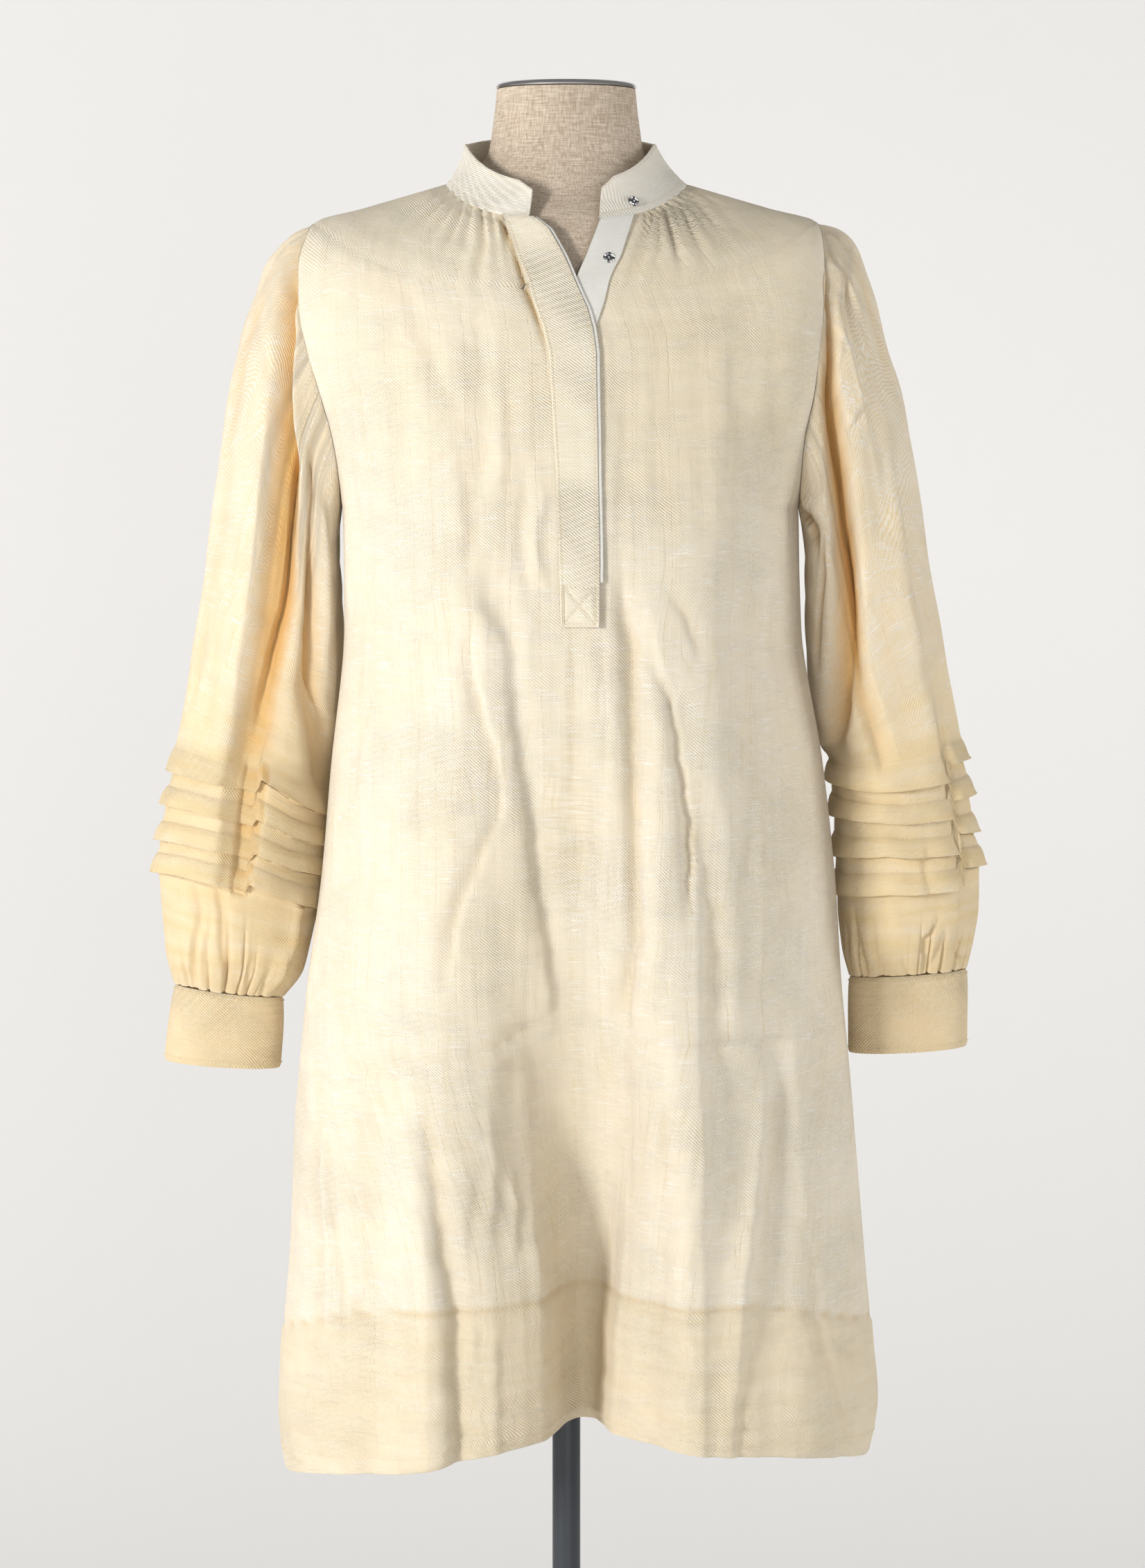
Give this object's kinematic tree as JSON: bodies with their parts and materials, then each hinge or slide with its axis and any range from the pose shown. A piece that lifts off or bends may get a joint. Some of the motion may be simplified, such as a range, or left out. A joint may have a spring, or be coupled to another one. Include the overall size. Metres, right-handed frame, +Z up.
{
  "type": "mini dress on dress form",
  "caption": "Long-sleeved mini dress with stand collar, half placket, bishop sleeves with tucks and deep hem, worn by a limbless dress form on a pole and round base.",
  "frame": {"origin": "centre of the base's underside, on the floor", "axes": "+X to the wearer's left, -Y to the front, +Z up along the pole"},
  "size_m": [0.6265, 0.34, 1.4978],
  "materials": {
    "body_cloth": "cream double gauze, matt",
    "sleeve_cloth": "the same cloth in one layer, warmer where light comes through",
    "facing_cloth": "white plain-woven cotton",
    "form_linen": "natural linen glued over the form",
    "chrome": "polished",
    "pole_paint": "dark grey, satin",
    "snap_metal": "bright nickel"
  },
  "bodies": {
    "root": {"form_torso": "form_linen", "neck_cap": "chrome", "stand_pole": "pole_paint", "stand_base": "pole_paint", "body_front": "body_cloth", "body_back": "body_cloth", "collar_band": "body_cloth", "placket_over": "body_cloth", "placket_edge": "facing_cloth", "placket_under": "facing_cloth", "sleeve_left": "sleeve_cloth", "sleeve_right": "sleeve_cloth", "cuff_left": "sleeve_cloth", "cuff_right": "sleeve_cloth", "snap_collar": "snap_metal", "snap_placket": "snap_metal"}
  },
  "joints": []
}
